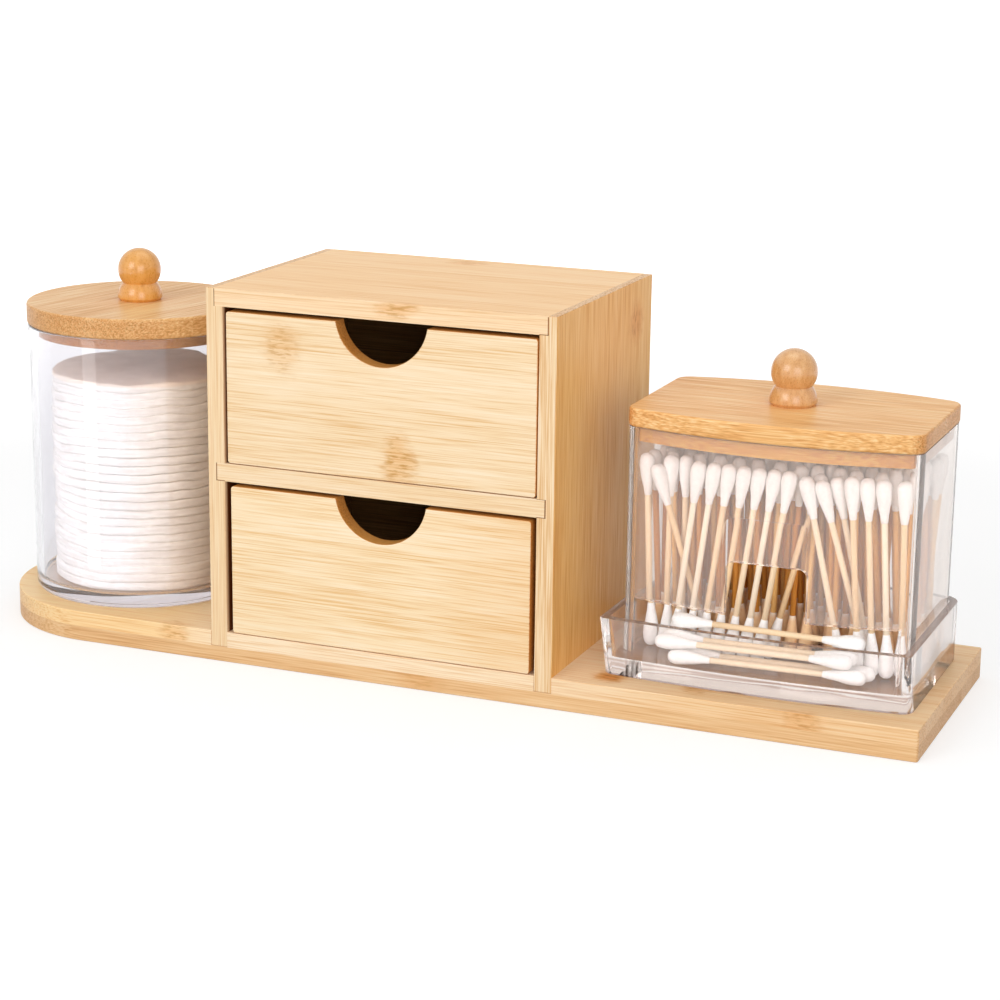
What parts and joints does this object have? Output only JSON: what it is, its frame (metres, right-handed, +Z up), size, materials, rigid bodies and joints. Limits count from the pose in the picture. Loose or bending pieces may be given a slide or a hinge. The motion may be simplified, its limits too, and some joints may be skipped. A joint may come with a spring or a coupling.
{
  "type": "bathroom organizer",
  "caption": "Bamboo countertop organizer: a board with a lidded clear jar of cotton pads, a two-drawer cabinet and a lidded clear swab dispenser.",
  "frame": {"origin": "middle of the board's underside, the centre of the base of the overall box", "axes": "+X along the board towards the swab holder, +Y from the drawer fronts to the back, +Z up"},
  "size_m": [0.39, 0.104, 0.1503],
  "materials": {
    "bamboo_board": "satin bamboo, grain along the board",
    "bamboo_panel": "satin bamboo, upright grain",
    "bamboo_front": "satin bamboo, level grain",
    "bamboo_inner": "plain bamboo",
    "bamboo_lid": "satin bamboo, warmer tone",
    "turned_wood": "varnished, glossy",
    "clear_acrylic": "clear, polished",
    "screw_steel": "plated",
    "cotton": "soft white cotton",
    "swab_stick": "pale birch"
  },
  "bodies": {
    "stand": {"board_lower_ply": "bamboo_board", "board_upper_ply": "bamboo_board", "left_side_panel": "bamboo_panel", "right_side_panel": "bamboo_panel", "top_panel": "bamboo_front", "middle_shelf": "bamboo_front", "back_panel": "bamboo_inner"},
    "upper_drawer": {"upper_drawer_front": "bamboo_front", "upper_drawer_left_side": "bamboo_inner", "upper_drawer_right_side": "bamboo_inner", "upper_drawer_back": "bamboo_inner", "upper_drawer_bottom": "bamboo_inner"},
    "lower_drawer": {"lower_drawer_front": "bamboo_front", "lower_drawer_left_side": "bamboo_inner", "lower_drawer_right_side": "bamboo_inner", "lower_drawer_back": "bamboo_inner", "lower_drawer_bottom": "bamboo_inner"},
    "jar": {"jar": "clear_acrylic", "cotton_pads": "cotton"},
    "jar_lid": {"jar_lid": "bamboo_lid", "jar_knob": "turned_wood", "jar_knob_screw": "screw_steel"},
    "swab_holder": {"swab_tray": "clear_acrylic", "swab_box": "clear_acrylic", "standing_swab_sticks": "swab_stick", "standing_swab_tips": "cotton", "tray_swab_sticks": "swab_stick", "tray_swab_tips": "cotton"},
    "swab_lid": {"swab_lid": "bamboo_lid", "swab_knob": "turned_wood", "swab_knob_screw": "screw_steel"}
  },
  "joints": [
    {"name": "upper_drawer_slide", "type": "slide", "parent": "stand", "child": "upper_drawer", "axis": [0, -1, 0], "range_m": [0, 0.075]},
    {"name": "lower_drawer_slide", "type": "slide", "parent": "stand", "child": "lower_drawer", "axis": [0, -1, 0], "range_m": [0, 0.075]},
    {"name": "jar_lift", "type": "slide", "parent": "stand", "child": "jar", "axis": [0, 0, 1], "range_m": [0, 0.12]},
    {"name": "jar_lid_lift", "type": "slide", "parent": "jar", "child": "jar_lid", "axis": [0, 0, 1], "range_m": [0, 0.08]},
    {"name": "swab_holder_lift", "type": "slide", "parent": "stand", "child": "swab_holder", "axis": [0, 0, 1], "range_m": [0, 0.12]},
    {"name": "swab_lid_lift", "type": "slide", "parent": "swab_holder", "child": "swab_lid", "axis": [0, 0, 1], "range_m": [0, 0.08]}
  ]
}
